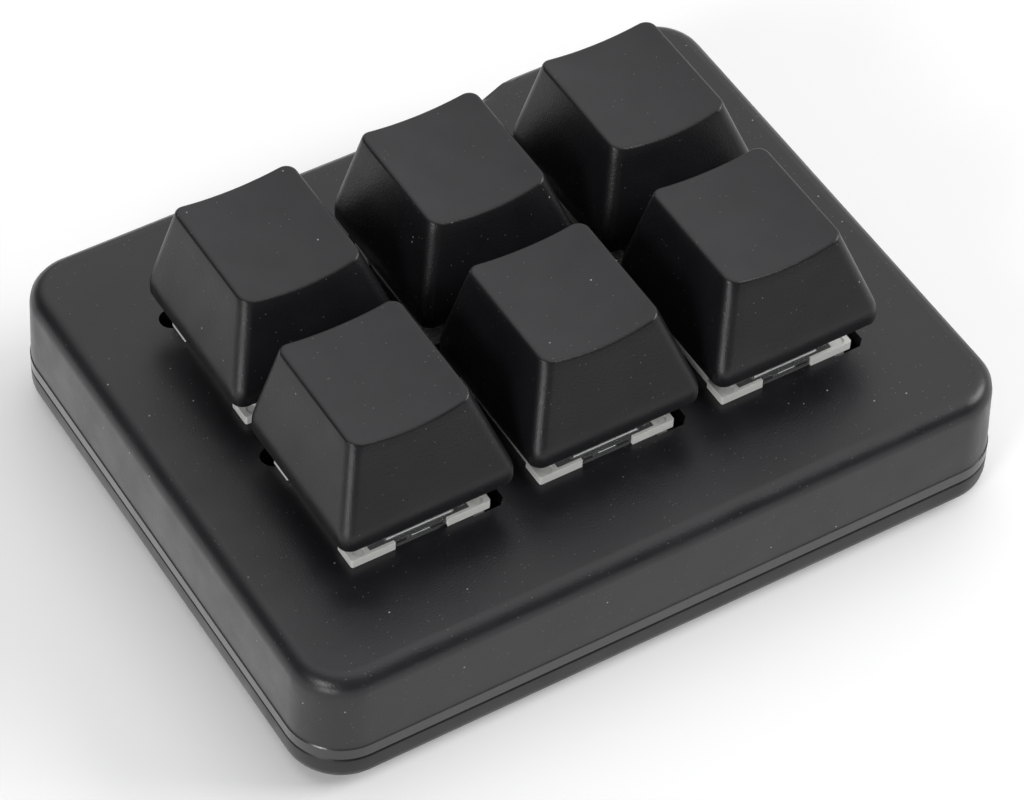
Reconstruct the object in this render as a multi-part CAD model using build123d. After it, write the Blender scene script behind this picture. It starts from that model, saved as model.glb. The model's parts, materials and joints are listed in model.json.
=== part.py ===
from build123d import *
import math
import os

# A desk keypad with two rows of three mechanical keys. Millimetres, +Z up, +X along a row of keys,
# +Y to the back. The origin is at the middle of the footprint, on the surface that the rubber feet
# stand on.

# Key field
columns = 3
rows = 2
key_apart = 1.8
field_left = 0.3
travel = 4.0

# Case outline: the space from the outer keycaps to the case's lower edge
side_margin = 9.1
front_margin = 10.5
back_margin = 12.5
case_corner = 5.6

# Upper case
upper_height = 8.8
plate_thick = 1.5
wall = 2.0
draft_angle = 2.2
top_edge_radius = 1.9
edge_steps = 4
skirt_wall = 1.1

# Recess at the back, for the plug
recess_width = 27.0
recess_depth = 1.3
recess_slant = 3.4
recess_blend = 3.0
recess_sill = 1.6

# Ring between the upper case and the bottom cover
ring_height = 1.5
ring_proud = 0.25
ring_edge = 0.3

# Bottom cover
cover_height = 3.3
floor_thick = 1.8
cover_proud = 0.12
cover_edge_radius = 1.6
seam_chamfer = 0.2
lip_height = 1.4
lip_clearance = 0.1

# Screws that hold the case together, driven from below
screw_diameter = 2.2
screw_length = 6.2
head_diameter = 3.9
head_height = 1.3
head_sunk = 0.3
screw_clearance = 0.08
boss_wall = 1.5
screw_inset = 5.6

# Rubber feet
foot_diameter = 9.0
foot_thick = 1.5
foot_proud = 0.6
foot_inset = 12.0
foot_clearance = 0.1
foot_edge = 0.3

# Circuit board
board_thick = 1.6
board_clearance = 0.6
pin_hole = 1.5
prop_diameter = 3.2

# Data socket on the board
socket_width = 8.94
socket_height = 3.2
socket_length = 7.35
socket_sheet = 0.3
socket_clearance = 0.13
socket_set_back = 0.3
tongue_width = 6.7
tongue_thick = 0.7
tongue_short = 1.4
tongue_block = 2.4

# Controller chip
chip_length = 9.9
chip_width = 3.9
chip_height = 1.4
chip_lift = 0.15
chip_leads = 8
chip_lead_pitch = 1.27
chip_lead_width = 0.4
chip_lead_reach = 1.0
chip_left = 16.0

# Lamps under the light windows
lamp_length = 3.0
lamp_width = 2.2
lamp_height = 1.5
lamp_edge = 0.25
lamp_forward = 5.2
lamp_clearance = 0.2

# Switch base
hole_size = 14.0
hole_clearance = 0.1
rim_size = 14.7
rim_corner = 0.15
rim_notch = 0.3
rim_tab = 2.6
rim_height = 1.0
base_depth = 5.0
base_straight = 2.4
base_taper = 5.0
base_floor = 1.2
post_diameter = 3.9
post_floor = 0.4
clip_width = 4.4
clip_reach = 0.35
clip_drop = 1.6
bay_width = 10.2
bay_front = 3.4
bay_back = 5.5
window_width = 5.5
window_sill = 0.2

# Relief notches of the plate, beside the rim
notch_reach = 1.6
notch_front = 0.2
notch_length = 3.4
notch_corner = 0.7
pocket_diameter = 2.5
pocket_inset = 0.35
pocket_back = 0.7

# Clear switch cover
cover_seat = 0.4
cover_foot_x = 10.3
cover_inset = 0.45
cover_step = 0.35
cover_top_x = 10.0
cover_top_y = 9.0
cover_top = 6.6
cover_wall = 0.9
cover_ceiling = 1.1
cover_edge = 0.3
seat_clearance = 0.1
window_set_back = 0.2
bar_width = 7.4
bar_depth = 0.6
bar_height = 0.5

# Stem
stem_clearance = 0.3
flange_x = 7.6
flange_y = 6.2
neck_x = 6.4
neck_y = 5.6
stop_gap = 0.3
shoulder_gap = 0.3
cross_span = 4.0
cross_bar_x = 1.3
cross_bar_y = 1.1
cross_height = 3.6
pole_diameter = 1.9
pole_clearance = 0.25
cam_width = 1.0
cam_apart = 4.8
cam_reach = 0.8
cam_height = 2.6

# Spring
spring_diameter = 4.3
spring_wire = 0.3
spring_turns = 6
spring_steps = 8
spring_clearance = 0.35
spring_seat = 0.02

# Contacts
contact_sheet = 0.3
pin_width = 0.9
pin_reach = 8.0
leaf_width = 1.2
blade_width = 2.4
contact_gap = 0.15
contact_point = 0.6
contact_top = 0.2
leaf_pin = (-3.81, 2.54)
blade_pin = (2.54, 5.08)

# Keycap
cap_size = 18.2
cap_gap = 0.4
cap_height = 10.0
cap_skirt = 1.8
cap_wall = 1.3
cap_roof = 1.4
cap_top_width = 12.6
cap_front_lean = 3.6
cap_back_lean = 0.6
cap_corner = 1.3
cap_edge = 0.3
dish_depth = 0.7
hub_diameter = 5.5
hub_clearance = 0.05

# Flats of a small round
round_flats = 16

# Sizes that follow from those above
key_pitch = cap_size + key_apart
cover_foot_y = rim_size - 2 * cover_inset
field_x = (columns - 1) * key_pitch
field_y = (rows - 1) * key_pitch
case_length = field_x + cap_size + 2 * side_margin
case_depth = field_y + cap_size + front_margin + back_margin
field_middle = (front_margin - back_margin) / 2
z_floor = foot_proud + floor_thick
z_cover = foot_proud + cover_height
z_ring = z_cover + ring_height
z_plate = z_ring + upper_height
z_board = z_plate - base_depth
z_under_board = z_board - board_thick
base_size = hole_size - 2 * hole_clearance
boss_diameter = screw_diameter + 2 * screw_clearance + 2 * boss_wall
head_floor = foot_proud + head_sunk + head_height
z_boss = max(z_floor, head_floor + boss_wall)
stem_bottom = base_floor - base_depth + travel + stop_gap
pole_hole = travel - pole_clearance + stop_gap
post_length = pole_hole + post_floor - base_floor
cap_rise = travel + cap_gap

BOTTOM = (Align.CENTER, Align.CENTER, Align.MIN)
TOP = (Align.CENTER, Align.CENTER, Align.MAX)


def key_places():
    """Each key's name and its middle on the plate's top face."""
    row_names = ["front", "back"]
    column_names = ["left", "middle", "right"]
    for row in range(rows):
        for column in range(columns):
            x = column * key_pitch - field_x / 2 - field_left
            y = row * key_pitch - field_y / 2 + field_middle
            yield f"{row_names[row]}_{column_names[column]}", Pos(x, y, z_plate)


def corners(inset):
    """Four places, as far in from the case's edges as inset says."""
    for x in (-1, 1):
        for y in (-1, 1):
            yield x * (case_length / 2 - inset), y * (case_depth / 2 - inset)


def case_outline(inset):
    """The case's plan, drawn in by inset (or out, if negative)."""
    return RectangleRounded(case_length - 2 * inset, case_depth - 2 * inset, case_corner - inset)


def recessed_outline(inset):
    """The case's plan with the shallow recess in the middle of its back edge."""
    edge = case_depth / 2 - inset
    floor = edge - recess_depth
    half = recess_width / 2 + inset
    mouth = half + recess_slant
    beyond = edge + wall
    recess = Polygon((-half, floor), (half, floor), (mouth, edge), (mouth, beyond), (-mouth, beyond),
                     (-mouth, edge), align=None)
    plan = case_outline(inset) - recess
    inside = mouth + recess_blend
    bends = [v for v in plan.vertices() if abs(v.X) < inside and v.Y > floor - recess_blend]
    return fillet(bends, recess_blend)


def band(outer, inner, bottom, height):
    """A wall that follows the case's plan, between two insets."""
    return Pos(0, 0, bottom) * extrude(case_outline(outer) - case_outline(inner), height)


def disc(diameter):
    """Plan of a small round, drawn with flats."""
    return RegularPolygon(diameter / 2, round(round_flats))


def rod(diameter, height):
    """A small round bar that stands on z 0, or hangs from it if the height is negative."""
    return extrude(disc(diameter), height)


def soft_edge(outline, inset, radius, way):
    """Slices that round off an outline's edge in steps, stacked up (way 1) or hung below (way -1)."""
    turn = math.pi / 2 / edge_steps
    slices = []
    for step in range(edge_steps):
        drawn_in = radius * (1 - math.cos(step * turn))
        z = radius * math.sin(step * turn)
        height = radius * math.sin((step + 1) * turn) - z
        lean = math.degrees((step + 0.5) * turn)
        slices.append(Pos(0, 0, way * z) * extrude(outline(inset + drawn_in), way * height, taper=lean))
    return Part() + slices


def sloping_block(length, depth, height, side, front, back):
    """A block on z 0 whose walls lean in by these amounts over its height."""
    block = Wedge(length, height, depth, side, back, length - side, depth - front,
                  align=(Align.CENTER, Align.MIN, Align.CENTER))
    return Rot(90, 0, 0) * block


def switch_hole():
    """Plan of one opening in the plate, with its two relief notches."""
    right = rim_size / 2 + notch_reach
    front = -rim_size / 2 - notch_front
    back = front + notch_length
    left = hole_size / 2 - notch_reach
    notch = Polygon((left, front), (right - notch_corner, front), (right, front + notch_corner),
                    (right, back), (left, back), align=None)
    pocket = Pos(pocket_inset - rim_size / 2, rim_size / 2 + pocket_back) * disc(pocket_diameter)
    return Rectangle(hole_size, hole_size) + notch + pocket


def socket_place():
    """Middle of the data socket's mouth, at the board's top face."""
    lean = math.tan(math.radians(draft_angle)) * (z_board + socket_height / 2 - z_ring)
    return 0, case_depth / 2 - recess_depth - lean - socket_set_back, z_board


def upper_case():
    lean = math.tan(math.radians(draft_angle))
    sill = Pos(0, 0, z_ring) * extrude(case_outline(0), recess_sill, taper=draft_angle)
    wall_height = upper_height - top_edge_radius - recess_sill
    above = extrude(recessed_outline(lean * recess_sill), wall_height, taper=draft_angle)
    body = sill + Pos(0, 0, z_ring + recess_sill) * above
    edge = soft_edge(recessed_outline, lean * (recess_sill + wall_height), top_edge_radius, 1)
    body += Pos(0, 0, z_plate - top_edge_radius) * edge
    cavity_height = upper_height - plate_thick
    body -= Pos(0, 0, z_ring) * extrude(recessed_outline(wall), cavity_height)
    body -= Pos(0, 0, z_ring) * extrude(case_outline(skirt_wall), lip_height + lip_clearance)
    screw_hole = rod(screw_diameter + 2 * screw_clearance, screw_length + screw_clearance)
    for x, y in corners(screw_inset):
        body += Pos(x, y, z_boss) * rod(boss_diameter, z_plate - plate_thick / 2 - z_boss)
        body -= Pos(x, y, head_floor) * screw_hole
    for _, place in key_places():
        body -= place * Pos(0, 0, -plate_thick) * extrude(switch_hole(), 2 * plate_thick)
    x, y, z = socket_place()
    mouth = SlotOverall(socket_width + 2 * socket_clearance, socket_height + 2 * socket_clearance)
    length = socket_length + socket_clearance + 2 * wall
    body -= Pos(x, y + 2 * wall, z + socket_height / 2) * extrude(Plane.XZ * mouth, length)
    return body


def trim_ring():
    ring = band(-ring_proud, skirt_wall, z_cover, ring_height)
    rims = ring.faces().sort_by(Axis.Z)
    outer = rims[0].outer_wire().edges() + rims[-1].outer_wire().edges()
    return chamfer(outer, ring_edge)


def bottom_cover():
    body = Pos(0, 0, foot_proud + cover_edge_radius) * extrude(
        case_outline(-cover_proud), cover_height - cover_edge_radius)
    body = chamfer(body.faces().sort_by(Axis.Z)[-1].edges(), seam_chamfer)
    body += Pos(0, 0, foot_proud + cover_edge_radius) * soft_edge(
        case_outline, -cover_proud, cover_edge_radius, -1)
    body -= Pos(0, 0, z_floor) * extrude(case_outline(wall), cover_height)
    body += band(skirt_wall + lip_clearance, wall, z_floor, z_ring + lip_height - z_floor)
    for x, y in corners(screw_inset):
        foot = z_floor - floor_thick / 2
        body += Pos(x, y, foot) * rod(boss_diameter, z_boss - foot)
        body -= Pos(x, y) * rod(head_diameter + 2 * screw_clearance, head_floor)
        body -= Pos(x, y) * rod(screw_diameter + 2 * screw_clearance, z_boss)
    for x, y in corners(foot_inset):
        body -= Pos(x, y) * rod(foot_diameter + 2 * foot_clearance, foot_thick)
    for x in (-key_pitch / 2, key_pitch / 2):
        body += Pos(x, field_middle, z_floor) * rod(prop_diameter, z_under_board - z_floor)
    return body


def case_screws():
    screw = rod(head_diameter, -head_height) + rod(screw_diameter, screw_length)
    return Compound(children=[Pos(x, y, head_floor) * screw for x, y in corners(screw_inset)])


def rubber_feet():
    foot = rod(foot_diameter, foot_thick)
    foot = chamfer(foot.faces().sort_by(Axis.Z)[0].edges(), foot_edge)
    return Compound(children=[Pos(x, y) * foot for x, y in corners(foot_inset)])


def circuit_board():
    left = case_length / 2 - wall - board_clearance
    front = -case_depth / 2 + wall + board_clearance
    back = case_depth / 2 - recess_depth - wall - board_clearance
    plan = Pos(0, (front + back) / 2) * Rectangle(2 * left, back - front)
    notch = 2 * (screw_inset + boss_diameter / 2 + board_clearance)
    for x in (-1, 1):
        for y in (-1, 1):
            plan -= Pos(x * case_length / 2, y * case_depth / 2) * Rectangle(notch, notch)
    for _, place in key_places():
        x, y = place.position.X, place.position.Y
        plan -= Pos(x, y) * disc(post_diameter + 2 * hole_clearance)
        for pin_x, pin_y in (leaf_pin, blade_pin):
            plan -= Pos(x + pin_x, y + pin_y) * Rectangle(pin_hole, pin_hole)
    return Pos(0, 0, z_under_board) * extrude(plan, board_thick)


def socket_shell():
    x, y, z = socket_place()
    outline = SlotOverall(socket_width, socket_height)
    bore = SlotOverall(socket_width - 2 * socket_sheet, socket_height - 2 * socket_sheet)
    tube = extrude(Plane.XZ * outline, socket_length)
    tube -= extrude(Plane.XZ * bore, socket_length - socket_sheet)
    return Pos(x, y, z + socket_height / 2) * tube


def socket_tongue():
    x, y, z = socket_place()
    bore = SlotOverall(socket_width - 2 * socket_sheet, socket_height - 2 * socket_sheet)
    back = -socket_length + socket_sheet
    block = Pos(0, back + tongue_block, 0) * extrude(Plane.XZ * bore, tongue_block)
    reach = socket_length - socket_sheet - tongue_short
    blade = Pos(0, back + reach / 2, 0) * Box(tongue_width, reach, tongue_thick)
    return Pos(x, y, z + socket_height / 2) * (block + blade)


def controller_chip():
    body = Pos(0, 0, chip_lift) * Box(chip_length, chip_width, chip_height, align=BOTTOM)
    body = chamfer(body.faces().sort_by(Axis.Z)[-1].edges(), chip_lift)
    lead_span = chip_width + 2 * chip_lead_reach
    lead = Box(chip_lead_width, lead_span, chip_lift + chip_height / 2, align=BOTTOM)
    lead -= Pos(0, 0, chip_lift) * Box(chip_lead_width, chip_width, chip_height, align=BOTTOM)
    for place in GridLocations(chip_lead_pitch, chip_lead_pitch, chip_leads, 1):
        body += place * lead
    edge = field_y / 2 + field_middle + base_size / 2
    board_back = case_depth / 2 - recess_depth - wall - board_clearance
    return Pos(-chip_left, (edge + board_back) / 2, z_board) * body


def lamps():
    lamp = Box(lamp_length, lamp_width, lamp_height, align=BOTTOM)
    lamp = chamfer(lamp.faces().sort_by(Axis.Z)[-1].edges(), lamp_edge)
    lamp = Pos(0, -lamp_forward, -base_depth) * lamp
    return Compound(children=[place * lamp for _, place in key_places()])


def switch_base():
    rim = Box(rim_size, rim_size, rim_height, align=BOTTOM)
    body = chamfer(rim.edges().filter_by(Axis.Z), rim_corner)
    notch = Box(2 * rim_notch, rim_size - 2 * rim_tab, rim_height, align=BOTTOM)
    for x in (-rim_size / 2, rim_size / 2):
        body -= Pos(x, 0, 0) * notch
    body += Box(base_size, base_size, base_straight, align=TOP)
    lean = math.tan(math.radians(base_taper)) * (base_depth - base_straight)
    lower = sloping_block(base_size, base_size, base_depth - base_straight, lean, lean, lean)
    body += Pos(0, 0, -base_straight) * Rot(180, 0, 0) * lower
    body += Pos(0, 0, -base_depth) * rod(post_diameter, -post_length)
    for side in (0, 180):
        catch = Polygon((base_size / 2, -plate_thick), (base_size / 2 + clip_reach, -plate_thick),
                        (base_size / 2, -plate_thick - clip_drop), align=None)
        body += Rot(0, 0, side) * Pos(-clip_width / 2, 0, 0) * extrude(Plane.YZ * catch, clip_width)
    bay_z = base_floor - base_depth
    bay = Box(bay_width, bay_back + bay_front, base_depth + rim_height, align=BOTTOM)
    body -= Pos(0, (bay_back - bay_front) / 2, bay_z) * bay
    body -= Pos(0, 0, bay_z) * rod(pole_diameter + 2 * pole_clearance, -pole_hole)
    body -= Pos(0, 0, rim_height - cover_seat) * Box(
        cover_foot_x + 2 * seat_clearance, cover_foot_y + 2 * seat_clearance, rim_height, align=BOTTOM)
    window_depth = rim_size / 2 - cover_foot_y / 2 + cover_wall + seat_clearance
    body -= Pos(0, -rim_size / 2 + window_depth / 2, window_sill) * Box(
        window_width, window_depth, rim_height, align=BOTTOM)
    well_x = lamp_length + 2 * lamp_clearance
    well_y = lamp_width + 2 * lamp_clearance
    body -= Pos(0, -lamp_forward, -base_depth) * Box(well_x, well_y, base_depth + rim_height, align=BOTTOM)
    slot_width = leaf_width + 2 * hole_clearance
    for pin_x, pin_y in (leaf_pin, blade_pin):
        slot = Box(slot_width, 2 * contact_sheet, base_depth, align=BOTTOM)
        body -= Pos(pin_x, pin_y, -base_depth) * slot
    slot_back = leaf_y() + contact_sheet
    slot_front = leaf_pin[1] - contact_sheet
    body -= Pos(leaf_pin[0], (slot_back + slot_front) / 2, -base_depth) * Box(
        slot_width, slot_back - slot_front, base_floor, align=BOTTOM)
    return body


def leaf_y():
    """Middle of the moving leaf's sheet, an open contact gap ahead of the fixed blade."""
    return blade_pin[1] - contact_sheet - contact_gap - contact_sheet / 2


def fixed_contact():
    x, y = blade_pin
    pin_top = base_floor - base_depth
    blade = Pos(x, y, pin_top) * Box(blade_width, contact_sheet, contact_top - pin_top, align=BOTTOM)
    pin = Pos(x, y, -pin_reach) * Box(pin_width, contact_sheet, pin_reach + contact_top, align=BOTTOM)
    return blade + pin


def moving_contact():
    x, y = leaf_pin
    foot_top = -base_depth + base_floor / 2
    foot_low = foot_top - contact_sheet
    pin = Pos(x, y, -pin_reach) * Box(pin_width, contact_sheet, pin_reach + foot_top, align=BOTTOM)
    foot_front = y - contact_sheet / 2
    foot_back = leaf_y() + contact_sheet / 2
    foot = Pos(x, (foot_front + foot_back) / 2, foot_low) * Box(
        leaf_width, foot_back - foot_front, contact_sheet, align=BOTTOM)
    riser = Pos(x, leaf_y(), foot_low) * Box(
        leaf_width, contact_sheet, contact_top - foot_low, align=BOTTOM)
    left = x - leaf_width / 2
    right = blade_pin[0] + blade_width / 2
    arm = Pos((left + right) / 2, leaf_y(), contact_top - leaf_width) * Box(
        right - left, contact_sheet, leaf_width, align=BOTTOM)
    point = Pos(blade_pin[0], leaf_y() + contact_sheet / 2, contact_top - leaf_width / 2) * Box(
        contact_point, contact_gap, contact_point)
    return pin + foot + riser + arm + point


def switch_cover():
    seat_z = rim_height - cover_seat
    shell_y = cover_foot_y - 2 * cover_step
    shell_height = cover_top - rim_height
    lean_x = (cover_foot_x - cover_top_x) / 2
    lean_y = (shell_y - cover_top_y) / 2
    body = Pos(0, 0, seat_z) * Box(cover_foot_x, cover_foot_y, cover_seat, align=BOTTOM)
    body += Pos(0, 0, rim_height) * sloping_block(
        cover_foot_x, shell_y, shell_height, lean_x, lean_y, lean_y)
    body = chamfer(body.faces().sort_by(Axis.Z)[-1].edges(), cover_edge)
    body += Pos(0, (bar_depth - cover_foot_y) / 2, rim_height) * Box(
        bar_width, bar_depth, bar_height, align=BOTTOM)
    inner_x = cover_foot_x - 2 * cover_wall
    inner_y = shell_y - 2 * cover_wall
    body -= Pos(0, 0, seat_z) * Box(inner_x, inner_y, cover_seat, align=BOTTOM)
    body -= Pos(0, 0, rim_height) * sloping_block(
        inner_x, inner_y, shell_height - cover_ceiling, lean_x, lean_y, lean_y)
    opening = Box(neck_x + 2 * stem_clearance, neck_y + 2 * stem_clearance, 2 * cover_ceiling)
    body -= Pos(0, 0, cover_top) * opening
    reach = rim_size / 2 - window_set_back - cover_foot_y / 2 + cover_wall
    lens = Box(window_width - 2 * seat_clearance, reach, rim_height - window_sill, align=BOTTOM)
    body += Pos(0, -rim_size / 2 + window_set_back + reach / 2, window_sill) * lens
    return body


def stem():
    shoulder = cover_top - cover_ceiling - shoulder_gap
    body = Pos(0, 0, stem_bottom) * Box(flange_x, flange_y, shoulder - stem_bottom, align=BOTTOM)
    body += Pos(0, 0, shoulder) * Box(neck_x, neck_y, cover_top - shoulder, align=BOTTOM)
    bay = spring_diameter + 2 * spring_clearance
    body -= Pos(0, 0, stem_bottom) * Box(bay, bay, spring_top() - stem_bottom, align=BOTTOM)
    pole_foot = base_floor - base_depth + pole_clearance
    body += Pos(0, 0, pole_foot) * rod(pole_diameter, shoulder - pole_foot)
    for bar_x, bar_y in ((cross_span, cross_bar_y), (cross_bar_x, cross_span)):
        body += Pos(0, 0, cover_top) * Box(bar_x, bar_y, cross_height, align=BOTTOM)
    cam_y = flange_y / 2
    cam_tip = cam_y + cam_reach
    cam_top = stem_bottom + cam_height
    ramp = Polygon((cam_y, stem_bottom), (cam_tip, stem_bottom + cam_height / 2), (cam_tip, cam_top),
                   (cam_y, cam_top), align=None)
    for x in (-cam_apart / 2, cam_apart / 2):
        body += Pos(x - cam_width / 2, 0, 0) * extrude(Plane.YZ * ramp, cam_width)
    return body


def spring_top():
    """Where the spring's upper end bears on the stem."""
    return cover_top - cover_ceiling - shoulder_gap - cover_wall / 2


def coil_spring():
    """A coil of square wire, wound in short straight steps."""
    radius = (spring_diameter - spring_wire) / 2
    low = base_floor - base_depth + spring_wire / 2 + spring_seat
    high = spring_top() - spring_wire / 2 - spring_seat
    steps = spring_turns * spring_steps
    points = []
    for step in range(steps + 1):
        angle = step * 2 * math.pi / spring_steps
        z = low + (high - low) * step / steps
        points.append(Vector(radius * math.cos(angle), radius * math.sin(angle), z))
    section = Plane(origin=points[0], z_dir=points[1] - points[0]) * RegularPolygon(spring_wire / 2, 4)
    print("spring's least gap between turns, mm", round((high - low) / spring_turns - spring_wire, 2))
    return sweep(section, path=Wire.make_polygon(points, close=False), transition=Transition.RIGHT)


def cap_block(height, inset):
    """The keycap's sloping part from the skirt up to a height over it, drawn in by inset."""
    share = height / (cap_height - cap_skirt)
    size = cap_size - 2 * inset
    side = (cap_size - cap_top_width) / 2
    return Pos(0, 0, cap_skirt) * sloping_block(
        size, size, height, share * side, share * cap_front_lean, share * cap_back_lean)


def cap_shell():
    """The keycap's outside, with its dished top."""
    block = cap_block(cap_height - cap_skirt + dish_depth + cap_edge, 0)
    ridges = [edge for edge in block.edges() if edge.tangent_at(0.5).Z ** 2 > 0.5]
    block = fillet(ridges, cap_corner)
    body = block + extrude(block.faces().sort_by(Axis.Z)[0], cap_skirt)
    half = cap_top_width / 2
    dish_radius = (half * half + dish_depth * dish_depth) / (2 * dish_depth)
    dish = Rot(90, 0, 0) * Cylinder(dish_radius, 2 * cap_size)
    body -= Pos(0, 0, cap_height - dish_depth + dish_radius) * dish
    crown = body.faces().filter_by(GeomType.CYLINDER).sort_by(SortBy.AREA)[-1]
    return chamfer(crown.edges(), cap_edge)


def keycap():
    """One cap, its lower edge at z 0."""
    roof = cap_height - dish_depth - cap_roof
    bay = cap_block(roof - cap_skirt, cap_wall)
    bay += Box(cap_size - 2 * cap_wall, cap_size - 2 * cap_wall, cap_skirt, align=BOTTOM)
    hub_foot = cover_top - cap_rise
    hub = Pos(0, 0, hub_foot) * rod(hub_diameter, roof - hub_foot + cap_roof / 2)
    body = cap_shell() - bay + hub
    deep = cross_height + shoulder_gap
    loose = 2 * hub_clearance
    for bar_x, bar_y in ((cross_span, cross_bar_y), (cross_bar_x, cross_span)):
        body -= Pos(0, 0, hub_foot) * Box(bar_x + loose, bar_y + loose, deep, align=BOTTOM)
    return body


def main():
    os.makedirs("parts", exist_ok=True)
    nodes = {
        "upper_case": upper_case(),
        "trim_ring": trim_ring(),
        "bottom_cover": bottom_cover(),
        "case_screws": case_screws(),
        "rubber_feet": rubber_feet(),
        "circuit_board": circuit_board(),
        "socket_shell": socket_shell(),
        "socket_tongue": socket_tongue(),
        "controller_chip": controller_chip(),
        "lamps": lamps(),
    }
    per_key = {
        "switch_base": switch_base(),
        "switch_cover": switch_cover(),
        "fixed_contact": fixed_contact(),
        "moving_contact": moving_contact(),
        "spring": coil_spring(),
        "stem": stem(),
        "keycap": Pos(0, 0, cap_rise) * keycap(),
    }
    for key, place in key_places():
        for name, piece in per_key.items():
            nodes[f"{name}_{key}"] = place * piece
    for name, piece in nodes.items():
        export_step(piece, f"parts/{name}.step")


main()
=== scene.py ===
import json
import math

import bmesh
import bpy
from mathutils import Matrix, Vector


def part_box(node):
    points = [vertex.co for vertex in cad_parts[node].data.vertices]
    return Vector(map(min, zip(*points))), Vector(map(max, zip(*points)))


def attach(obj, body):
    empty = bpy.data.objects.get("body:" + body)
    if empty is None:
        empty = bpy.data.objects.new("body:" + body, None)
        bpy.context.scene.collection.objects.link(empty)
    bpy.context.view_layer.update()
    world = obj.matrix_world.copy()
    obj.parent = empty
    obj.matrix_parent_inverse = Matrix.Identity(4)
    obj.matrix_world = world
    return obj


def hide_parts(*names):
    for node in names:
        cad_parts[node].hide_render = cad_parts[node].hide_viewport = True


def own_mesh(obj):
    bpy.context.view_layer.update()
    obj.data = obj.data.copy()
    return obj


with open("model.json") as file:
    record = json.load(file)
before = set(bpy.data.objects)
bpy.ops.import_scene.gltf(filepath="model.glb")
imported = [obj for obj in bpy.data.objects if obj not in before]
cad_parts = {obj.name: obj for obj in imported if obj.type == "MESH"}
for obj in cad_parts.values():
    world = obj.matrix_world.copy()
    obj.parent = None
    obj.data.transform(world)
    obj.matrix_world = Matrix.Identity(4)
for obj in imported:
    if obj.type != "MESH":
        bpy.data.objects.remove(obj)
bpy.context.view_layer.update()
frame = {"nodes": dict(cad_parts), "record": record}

MM = 0.001
KEYS = [f"{row}_{column}" for row in ("front", "back") for column in ("left", "middle", "right")]

# Keycap, in millimetres
CAP_SIZE = 18.2
CAP_HEIGHT = 10.0
CAP_SKIRT = 1.8
CAP_SKIRT_BLEND = 0.7
CAP_TOP = 12.6
CAP_FRONT_LEAN = 3.6
CAP_BACK_LEAN = 0.6
CAP_DISH = 0.7
CAP_WALL = 1.3
CAP_ROOF = 1.4
CAP_CORNER = 1.3
CAP_INNER_CORNER = 0.35
CAP_CROWN = 0.40
CAP_LIP = 0.45
CAP_INNER_LIP = 0.2
CAP_CEILING = CAP_HEIGHT - CAP_DISH - CAP_ROOF
BEND_BOTTOM, BEND_TOP = CAP_SKIRT - CAP_SKIRT_BLEND, CAP_SKIRT + CAP_SKIRT_BLEND

# How finely the keycap's mesh is divided
CORNER_STEPS = 10
SIDE_STEPS = 10
CROWN_STEPS = 6
LIP_STEPS = 5
SLOPE_STEPS = 8
BEND_HEIGHTS = (0.9, 1.25, 1.55, 1.85, 2.15, BEND_TOP)
DISH_SHARES = (0.94, 0.86, 0.74, 0.6, 0.45, 0.3, 0.15)
CROWN_HALVINGS = 40
CROWN_PROBE = 0.5

# Hub of the cap, with its cross as two bars of length and width in plan
HUB_RADIUS = 2.75
HUB_FOOT = 2.2
HUB_DEPTH = 3.9
HUB_BARS = ((4.1, 1.2), (1.4, 4.1))
HUB_SINK = 0.3
ROD_SIDES = 40

# Coil spring
COIL_RADIUS = 2.0
COIL_WIRE = 0.15
COIL_TURNS = 6
COIL_STEPS = 24
COIL_SIDES = 8

# Marks on the switch rim
MARK_RADIUS = 0.55
MARK_X, MARK_Y = 6.25, 6.6
MARK_DEPTH = 0.1
MARK_SIDES = 28

# Screws, with their crosses as two bars
SCREW_HEAD_RADIUS = 1.95
SCREW_HEAD = 1.3
SCREW_RADIUS = 1.1
SCREW_BARS = ((2.3, 0.55), (0.55, 2.3))
SCREW_SOCKET = 0.9
SCREW_SINK = 0.2
SCREW_SIDES = 32

# Contact pads on the socket's tongue
TONGUE_THICK = 0.7
PAD_COUNT = 12
PAD_PITCH = 0.5
PAD_WIDTH = 0.28
PAD_LENGTH = 3.2
PAD_THICK = 0.02
PAD_SET_BACK = 0.5

# Case: the plate's height, the trim ring, and where the ends of the back recess lie
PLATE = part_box("upper_case")[1].z / MM
TRIM_CORNER = 5.85
TRIM_DEPTH = 1.35
TRIM_DRAW_IN = 0.15
TRIM_EDGE = 0.11
RECESS_FROM, RECESS_TO = 12.0, 20.0
RECESS_BACK = 27.5
RECESS_DROP = 2.1
RECESS_STEP = 0.42

# Light window at the front of the switch: ribs as length, depth, bottom and top, heights from the plate.
# The ribs are in a whitish plastic that paints the highlights along the window's edges, and the lens's
# slots are dark blocks that paint their shade
WINDOW_WIDTH = 5.5
LENS_SILL = 0.2
LENS_GAP = 0.1
LENS_SET_BACK = 0.2
LENS_RIB_HIGHLIGHT = (1.9, 0.06, 0.70, 0.82)
# Dark blocks behind the lens that paint the shade of its slots: their spans across, heights from the plate,
# and how far they stand out and reach back
LENS_SLOT_SHADES = ((-2.5, -1.5), (1.1, 2.4))
SLOT_SHADE_LOW, SLOT_SHADE_HIGH = 0.46, 0.80
SLOT_SHADE_PROUD, SLOT_SHADE_DEPTH = 0.01, 0.3
BAR_SET_BACK = 0.45
BAR_RIB_HIGHLIGHT = (7.0, 0.2, 1.26, 1.5)

# How far pieces reach into each other, and how far cutters reach past what they cut
OVERLAP = 0.02
CUT_SPARE = 0.05
CUT_OVER = 1.0

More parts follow.
